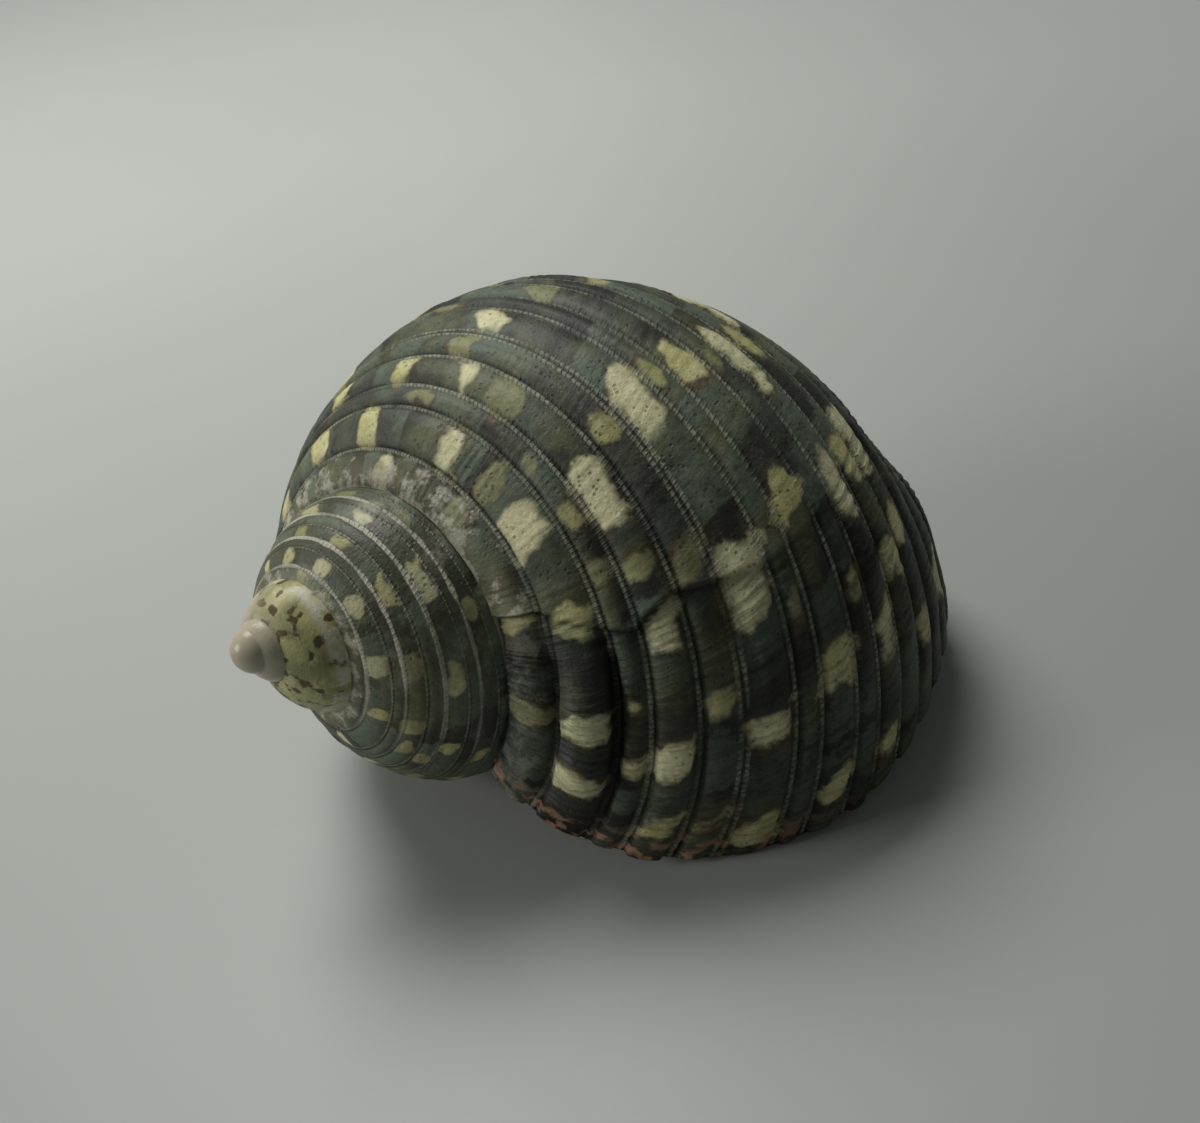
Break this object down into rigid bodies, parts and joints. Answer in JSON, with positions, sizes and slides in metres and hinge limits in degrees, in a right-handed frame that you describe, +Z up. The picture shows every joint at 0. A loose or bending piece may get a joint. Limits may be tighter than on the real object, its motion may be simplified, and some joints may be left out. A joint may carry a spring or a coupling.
{
  "type": "turban shell",
  "caption": "Turban snail shell with a tall spire and flat spiral cords, dark green with cream blotches, lying on its round mouth.",
  "frame": {"origin": "on the resting surface under the middle of the shell", "axes": "+Z up. The spire points towards -X and -Y and rises at about twenty degrees. The mouth faces down."},
  "size_m": [0.065, 0.0506, 0.0427],
  "materials": {
    "shell_outside": "satin, slate green to near black with cream and olive blotches on flat cords"
  },
  "bodies": {
    "root": {"shell": "shell_outside"}
  },
  "joints": []
}
